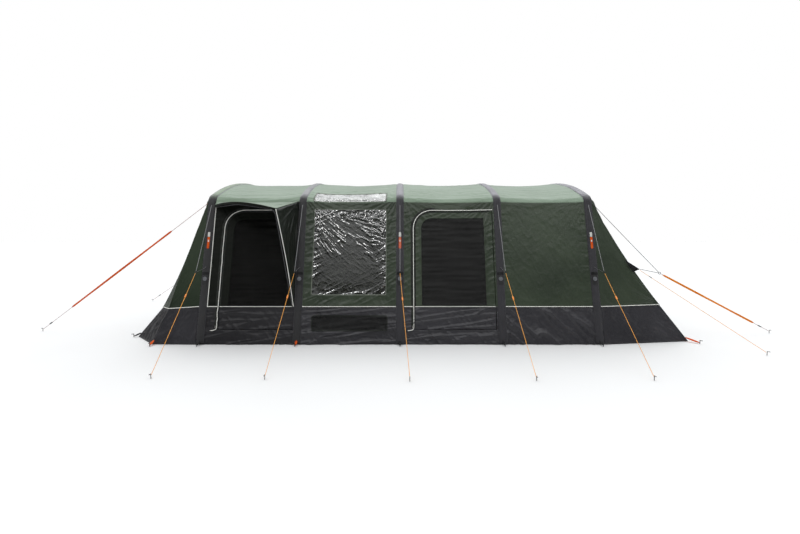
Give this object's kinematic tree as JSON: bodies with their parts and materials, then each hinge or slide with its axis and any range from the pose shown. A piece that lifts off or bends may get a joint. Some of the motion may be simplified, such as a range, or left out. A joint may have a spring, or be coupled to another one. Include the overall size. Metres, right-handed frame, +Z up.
{
  "type": "tunnel tent",
  "caption": "Tunnel tent on inflated arches with leaning ends, side doors under a porch canopy, film window, inner bedroom, and guylines pegged out all round.",
  "frame": {"origin": "on the ground under the middle beam, on the tent's centreline", "axes": "+X along the tent from the porch end to the bedroom end, +Y across towards the side without doors, +Z up"},
  "size_m": [10.0405, 6.352, 2.151],
  "materials": {
    "tube": "woven polyester over the air bladder",
    "sleeve": "coated polyester, purple grey",
    "roof": "coated polyester, dark green, soft sheen",
    "wall": "coated polyester, dark green",
    "mud": "coated polyester, charcoal",
    "floor": "laid polyethylene sheet",
    "inner": "breathable polyester, grey brown",
    "film": "clear pliable film",
    "mesh": "fine black insect mesh",
    "piping": "white piping",
    "valve": "black flexible moulding",
    "cap": "grey moulded cap",
    "webbing": "black woven webbing",
    "tab": "plain orange and grey tab",
    "cord": "orange braided line",
    "bridle": "grey braided line",
    "strap": "orange-red woven strap",
    "steel": "plated steel",
    "runner": "black anodised",
    "zip": "black enamelled zip slider",
    "rod": "pultruded fibre rod",
    "leg_strap": "orange webbing"
  },
  "bodies": {
    "root": {"air_beam_1": "tube", "air_beam_2": "tube", "air_beam_3": "tube", "air_beam_4": "tube", "air_beam_5": "tube", "beam_sleeves": "sleeve", "valve_pockets": "valve", "beam_tabs": "tab", "fly_roof": "roof", "fly_wall_near": "wall", "fly_wall_far": "wall", "mud_wall_near": "mud", "mud_wall_far": "mud", "fly_front": "wall", "fly_rear": "wall", "mud_wall_front": "mud", "mud_wall_rear": "mud", "groundsheet": "floor", "side_windows": "film", "front_windows": "film", "skylight": "film", "low_vents": "mesh", "bedroom_inner": "inner", "door_piping": "piping", "wall_piping": "piping", "porch_canopy": "wall", "canopy_wing": "wall", "canopy_rod": "rod", "bridles": "bridle", "guy_rings": "steel", "side_guylines": "cord", "guy_pegs": "steel", "guy_tabs": "webbing", "storm_guys": "strap", "corner_guys": "cord", "peg_straps": "leg_strap", "foot_pegs": "steel"},
    "porch_door": {"porch_door": "wall", "porch_door_mesh": "mesh"},
    "side_door": {"side_door": "wall", "side_door_mesh": "mesh"},
    "bedroom_door_near": {"bedroom_door_near": "inner"},
    "bedroom_door_far": {"bedroom_door_far": "inner"},
    "valve_cap_1": {"valve_cap_1": "cap"},
    "valve_cap_2": {"valve_cap_2": "cap"},
    "valve_cap_3": {"valve_cap_3": "cap"},
    "valve_cap_4": {"valve_cap_4": "cap"},
    "valve_cap_5": {"valve_cap_5": "cap"},
    "zip_slider_porch": {"zip_slider_porch": "zip"},
    "zip_slider_side": {"zip_slider_side": "zip"},
    "runner_near_1": {"runner_near_1": "runner"},
    "runner_near_2": {"runner_near_2": "runner"},
    "runner_near_3": {"runner_near_3": "runner"},
    "runner_near_4": {"runner_near_4": "runner"},
    "runner_near_5": {"runner_near_5": "runner"},
    "runners_far": {"runners_far": "runner"},
    "runner_front_near": {"runner_front_near": "runner"},
    "runner_front_far": {"runner_front_far": "runner"},
    "runner_rear_near": {"runner_rear_near": "runner"},
    "runner_rear_far": {"runner_rear_far": "runner"}
  },
  "joints": [
    {"name": "porch_door_hinge", "type": "hinge", "parent": "root", "child": "porch_door", "pos_m": [-1.335, -1.67981, 0.91634], "axis": [0, 0.2588, 0.9659], "range_deg": [-38, 0]},
    {"name": "side_door_hinge", "type": "hinge", "parent": "root", "child": "side_door", "pos_m": [1.19, -1.68048, 0.91384], "axis": [0, 0.2588, 0.9659], "range_deg": [0, 80]},
    {"name": "bedroom_door_near_hinge", "type": "hinge", "parent": "root", "child": "bedroom_door_near", "pos_m": [1.33, -1.245, 0.875], "axis": [0, 0, 1], "range_deg": [0, 85]},
    {"name": "bedroom_door_far_hinge", "type": "hinge", "parent": "root", "child": "bedroom_door_far", "pos_m": [1.33, 1.245, 0.875], "axis": [0, 0, -1], "range_deg": [0, 85]},
    {"name": "valve_cap_1_flip", "type": "hinge", "parent": "root", "child": "valve_cap_1", "pos_m": [-2.445, -1.72336, 0.81291], "axis": [-1, 0, 0], "range_deg": [0, 90]},
    {"name": "valve_cap_2_flip", "type": "hinge", "parent": "root", "child": "valve_cap_2", "pos_m": [-1.264, -1.72336, 0.81291], "axis": [-1, 0, 0], "range_deg": [0, 90]},
    {"name": "valve_cap_3_flip", "type": "hinge", "parent": "root", "child": "valve_cap_3", "pos_m": [0, -1.72336, 0.81291], "axis": [-1, 0, 0], "range_deg": [0, 90]},
    {"name": "valve_cap_4_flip", "type": "hinge", "parent": "root", "child": "valve_cap_4", "pos_m": [1.264, -1.72336, 0.81291], "axis": [-1, 0, 0], "range_deg": [0, 90]},
    {"name": "valve_cap_5_flip", "type": "hinge", "parent": "root", "child": "valve_cap_5", "pos_m": [2.445, -1.72336, 0.81291], "axis": [-1, 0, 0], "range_deg": [0, 90]},
    {"name": "zip_slider_porch_travel", "type": "slide", "parent": "root", "child": "zip_slider_porch", "axis": [0, 0.2588, 0.9659], "range_m": [0, 1.05]},
    {"name": "zip_slider_side_travel", "type": "slide", "parent": "root", "child": "zip_slider_side", "axis": [0, 0.2588, 0.9659], "range_m": [0, 1.05]},
    {"name": "runner_near_1_slide", "type": "slide", "parent": "root", "child": "runner_near_1", "axis": [-0.0781, 0.789, 0.6094], "range_m": [-0.85, 0.3]},
    {"name": "runner_near_2_slide", "type": "slide", "parent": "root", "child": "runner_near_2", "axis": [-0.0042, 0.7992, 0.6011], "range_m": [-0.85, 0.3]},
    {"name": "runner_near_3_slide", "type": "slide", "parent": "root", "child": "runner_near_3", "axis": [-0.0612, 0.8098, 0.5835], "range_m": [-0.85, 0.3]},
    {"name": "runner_near_4_slide", "type": "slide", "parent": "root", "child": "runner_near_4", "axis": [0.0041, 0.8078, 0.5895], "range_m": [-0.85, 0.3]},
    {"name": "runner_near_5_slide", "type": "slide", "parent": "root", "child": "runner_near_5", "axis": [0.0643, 0.8025, 0.5932], "range_m": [-0.85, 0.3]},
    {"name": "runners_far_slide", "type": "slide", "parent": "root", "child": "runners_far", "axis": [0, -0.8113, 0.5846], "range_m": [-0.85, 0.3]},
    {"name": "runner_front_near_slide", "type": "slide", "parent": "root", "child": "runner_front_near", "axis": [0.8186, -0.0751, 0.5694], "range_m": [-0.09, 0.35]},
    {"name": "runner_front_far_slide", "type": "slide", "parent": "root", "child": "runner_front_far", "axis": [0.8186, 0.0751, 0.5694], "range_m": [-0.09, 0.35]},
    {"name": "runner_rear_near_slide", "type": "slide", "parent": "root", "child": "runner_rear_near", "axis": [-0.8916, -0.0455, 0.4506], "range_m": [-0.09, 0.06]},
    {"name": "runner_rear_far_slide", "type": "slide", "parent": "root", "child": "runner_rear_far", "axis": [-0.8916, 0.0455, 0.4506], "range_m": [-0.09, 0.06]}
  ]
}
